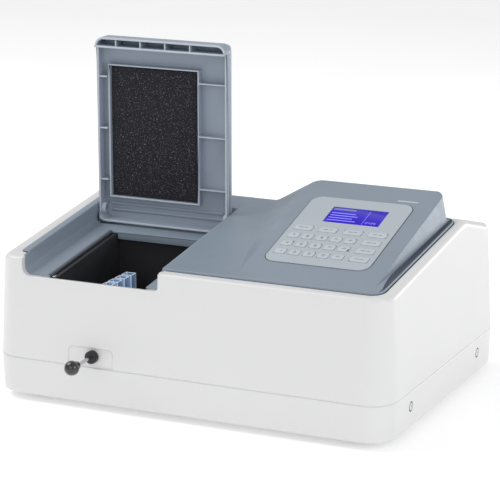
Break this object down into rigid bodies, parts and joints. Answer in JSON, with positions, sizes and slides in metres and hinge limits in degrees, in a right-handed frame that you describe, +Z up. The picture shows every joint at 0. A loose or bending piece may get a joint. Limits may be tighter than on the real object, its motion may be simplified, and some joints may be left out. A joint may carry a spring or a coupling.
{
  "type": "spectrophotometer",
  "caption": "Bench spectrophotometer with an open lidded sample compartment, cuvette carriage on a pull rod, and a sloping keypad console with a blue display.",
  "frame": {"origin": "on the table, under the middle of the outline of the whole part at rest", "axes": "+X right, -Y towards the front with the pull rod, +Z up"},
  "size_m": [0.46, 0.397, 0.3733],
  "materials": {
    "casing_white": "fine satin texture, warm light grey-white",
    "panel_grey": "satin blue-grey moulding",
    "lid_grey": "satin blue-grey moulding",
    "foam_black": "open-cell foam",
    "pin_steel": "ground steel",
    "chamber_black": "matt black powder coat",
    "carriage_black": "black anodised",
    "ball_black": "glossy phenolic",
    "bushing_black": "satin",
    "cuvette_glass": "clear, faint blue",
    "plate_grey": "printed film",
    "screen_blue": "lit blue screen",
    "key_grey": "soft satin",
    "board_green": "solder mask",
    "bench_metal": "machined",
    "housing_metal": "matt paint",
    "mirror": "front-coated",
    "brass": "machined",
    "lamp_glass": "clear bulb on a ceramic base",
    "supply_metal": "varnished",
    "rear_metal": "satin paint",
    "socket_black": "satin",
    "foot_rubber": "matt",
    "screw_steel": "plated"
  },
  "bodies": {
    "casing": {"base_tray": "casing_white", "top_cover": "casing_white", "top_panel": "panel_grey", "hinge_pins": "pin_steel", "sample_chamber": "chamber_black", "guide_rods": "pin_steel", "rod_bushing": "bushing_black", "keypad_plate": "plate_grey", "display_window": "screen_blue", "display_module": "board_green", "keypad_board": "board_green", "optical_bench": "bench_metal", "mono_housing": "housing_metal", "mirrors": "mirror", "grating_motor": "pin_steel", "lamp_housing": "housing_metal", "lamp": "lamp_glass", "detector": "housing_metal", "main_board": "board_green", "power_supply": "supply_metal", "rear_panel": "rear_metal", "power_inlet": "socket_black", "data_port": "pin_steel", "feet": "foot_rubber", "side_screws": "screw_steel"},
    "lid_body": {"lid": "lid_grey", "lid_foam": "foam_black"},
    "carriage_body": {"carriage": "carriage_black", "pull_rod": "pin_steel", "pull_ball": "ball_black"},
    "grating_body": {"grating_table": "brass", "grating": "mirror"},
    "pinion_body": {"motor_pinion": "brass"},
    "rocker_body": {"power_rocker": "socket_black"},
    "cuvette_body_1": {"cuvette_1": "cuvette_glass"},
    "cuvette_body_2": {"cuvette_2": "cuvette_glass"},
    "cuvette_body_3": {"cuvette_3": "cuvette_glass"},
    "cuvette_body_4": {"cuvette_4": "cuvette_glass"},
    "key_1_body": {"key_1": "key_grey"},
    "key_2_body": {"key_2": "key_grey"},
    "key_3_body": {"key_3": "key_grey"},
    "key_4_body": {"key_4": "key_grey"},
    "key_5_body": {"key_5": "key_grey"},
    "key_6_body": {"key_6": "key_grey"},
    "key_7_body": {"key_7": "key_grey"},
    "key_8_body": {"key_8": "key_grey"},
    "key_9_body": {"key_9": "key_grey"},
    "key_10_body": {"key_10": "key_grey"},
    "key_11_body": {"key_11": "key_grey"},
    "key_12_body": {"key_12": "key_grey"},
    "key_13_body": {"key_13": "key_grey"},
    "key_14_body": {"key_14": "key_grey"},
    "key_15_body": {"key_15": "key_grey"},
    "wide_key_1_body": {"wide_key_1": "key_grey"},
    "wide_key_2_body": {"wide_key_2": "key_grey"},
    "wide_key_3_body": {"wide_key_3": "key_grey"},
    "menu_key_1_body": {"menu_key_1": "key_grey"},
    "menu_key_2_body": {"menu_key_2": "key_grey"},
    "menu_key_3_body": {"menu_key_3": "key_grey"},
    "menu_key_4_body": {"menu_key_4": "key_grey"}
  },
  "joints": [
    {"name": "lid_hinge", "type": "hinge", "parent": "casing", "child": "lid_body", "pos_m": [0, 0.0395, 0.1763], "axis": [-1, 0, 0], "range_deg": [-97.2, 0]},
    {"name": "carriage_slide", "type": "slide", "parent": "casing", "child": "carriage_body", "axis": [0, -1, 0], "range_m": [-0.016, 0.032]},
    {"name": "grating_turn", "type": "hinge", "parent": "casing", "child": "grating_body", "pos_m": [0.055, -0.0065, 0.068], "axis": [0, 0, 1], "range_deg": [-20, 20]},
    {"name": "pinion_turn", "type": "hinge", "parent": "casing", "child": "pinion_body", "pos_m": [0.0175, -0.0065, 0.068], "axis": [0, 0, 1], "range_deg": [-80, 80]},
    {"name": "rocker_press", "type": "hinge", "parent": "casing", "child": "rocker_body", "pos_m": [0.092, 0.185, 0.096], "axis": [-1, 0, 0], "range_deg": [0, 16]},
    {"name": "cuvette_lift_1", "type": "slide", "parent": "carriage_body", "child": "cuvette_body_1", "axis": [0, 0, 1], "range_m": [0, 0.06]},
    {"name": "cuvette_lift_2", "type": "slide", "parent": "carriage_body", "child": "cuvette_body_2", "axis": [0, 0, 1], "range_m": [0, 0.06]},
    {"name": "cuvette_lift_3", "type": "slide", "parent": "carriage_body", "child": "cuvette_body_3", "axis": [0, 0, 1], "range_m": [0, 0.06]},
    {"name": "cuvette_lift_4", "type": "slide", "parent": "carriage_body", "child": "cuvette_body_4", "axis": [0, 0, 1], "range_m": [0, 0.06]},
    {"name": "key_1_press", "type": "slide", "parent": "casing", "child": "key_1_body", "axis": [0, 0.2639, -0.9646], "range_m": [0, 0.0005], "stiffness_N_per_m": 400, "springref_m": -0.0005},
    {"name": "key_2_press", "type": "slide", "parent": "casing", "child": "key_2_body", "axis": [0, 0.2639, -0.9646], "range_m": [0, 0.0005], "stiffness_N_per_m": 400, "springref_m": -0.0005},
    {"name": "key_3_press", "type": "slide", "parent": "casing", "child": "key_3_body", "axis": [0, 0.2639, -0.9646], "range_m": [0, 0.0005], "stiffness_N_per_m": 400, "springref_m": -0.0005},
    {"name": "key_4_press", "type": "slide", "parent": "casing", "child": "key_4_body", "axis": [0, 0.2639, -0.9646], "range_m": [0, 0.0005], "stiffness_N_per_m": 400, "springref_m": -0.0005},
    {"name": "key_5_press", "type": "slide", "parent": "casing", "child": "key_5_body", "axis": [0, 0.2639, -0.9646], "range_m": [0, 0.0005], "stiffness_N_per_m": 400, "springref_m": -0.0005},
    {"name": "key_6_press", "type": "slide", "parent": "casing", "child": "key_6_body", "axis": [0, 0.2639, -0.9646], "range_m": [0, 0.0005], "stiffness_N_per_m": 400, "springref_m": -0.0005},
    {"name": "key_7_press", "type": "slide", "parent": "casing", "child": "key_7_body", "axis": [0, 0.2639, -0.9646], "range_m": [0, 0.0005], "stiffness_N_per_m": 400, "springref_m": -0.0005},
    {"name": "key_8_press", "type": "slide", "parent": "casing", "child": "key_8_body", "axis": [0, 0.2639, -0.9646], "range_m": [0, 0.0005], "stiffness_N_per_m": 400, "springref_m": -0.0005},
    {"name": "key_9_press", "type": "slide", "parent": "casing", "child": "key_9_body", "axis": [0, 0.2639, -0.9646], "range_m": [0, 0.0005], "stiffness_N_per_m": 400, "springref_m": -0.0005},
    {"name": "key_10_press", "type": "slide", "parent": "casing", "child": "key_10_body", "axis": [0, 0.2639, -0.9646], "range_m": [0, 0.0005], "stiffness_N_per_m": 400, "springref_m": -0.0005},
    {"name": "key_11_press", "type": "slide", "parent": "casing", "child": "key_11_body", "axis": [0, 0.2639, -0.9646], "range_m": [0, 0.0005], "stiffness_N_per_m": 400, "springref_m": -0.0005},
    {"name": "key_12_press", "type": "slide", "parent": "casing", "child": "key_12_body", "axis": [0, 0.2639, -0.9646], "range_m": [0, 0.0005], "stiffness_N_per_m": 400, "springref_m": -0.0005},
    {"name": "key_13_press", "type": "slide", "parent": "casing", "child": "key_13_body", "axis": [0, 0.2639, -0.9646], "range_m": [0, 0.0005], "stiffness_N_per_m": 400, "springref_m": -0.0005},
    {"name": "key_14_press", "type": "slide", "parent": "casing", "child": "key_14_body", "axis": [0, 0.2639, -0.9646], "range_m": [0, 0.0005], "stiffness_N_per_m": 400, "springref_m": -0.0005},
    {"name": "key_15_press", "type": "slide", "parent": "casing", "child": "key_15_body", "axis": [0, 0.2639, -0.9646], "range_m": [0, 0.0005], "stiffness_N_per_m": 400, "springref_m": -0.0005},
    {"name": "wide_key_1_press", "type": "slide", "parent": "casing", "child": "wide_key_1_body", "axis": [0, 0.2639, -0.9646], "range_m": [0, 0.0005], "stiffness_N_per_m": 400, "springref_m": -0.0005},
    {"name": "wide_key_2_press", "type": "slide", "parent": "casing", "child": "wide_key_2_body", "axis": [0, 0.2639, -0.9646], "range_m": [0, 0.0005], "stiffness_N_per_m": 400, "springref_m": -0.0005},
    {"name": "wide_key_3_press", "type": "slide", "parent": "casing", "child": "wide_key_3_body", "axis": [0, 0.2639, -0.9646], "range_m": [0, 0.0005], "stiffness_N_per_m": 400, "springref_m": -0.0005},
    {"name": "menu_key_1_press", "type": "slide", "parent": "casing", "child": "menu_key_1_body", "axis": [0, 0.2639, -0.9646], "range_m": [0, 0.0005], "stiffness_N_per_m": 400, "springref_m": -0.0005},
    {"name": "menu_key_2_press", "type": "slide", "parent": "casing", "child": "menu_key_2_body", "axis": [0, 0.2639, -0.9646], "range_m": [0, 0.0005], "stiffness_N_per_m": 400, "springref_m": -0.0005},
    {"name": "menu_key_3_press", "type": "slide", "parent": "casing", "child": "menu_key_3_body", "axis": [0, 0.2639, -0.9646], "range_m": [0, 0.0005], "stiffness_N_per_m": 400, "springref_m": -0.0005},
    {"name": "menu_key_4_press", "type": "slide", "parent": "casing", "child": "menu_key_4_body", "axis": [0, 0.2639, -0.9646], "range_m": [0, 0.0005], "stiffness_N_per_m": 400, "springref_m": -0.0005}
  ],
  "couplings": [
    {"joint": "pinion_turn", "follows": "grating_turn", "ratio": -4}
  ]
}
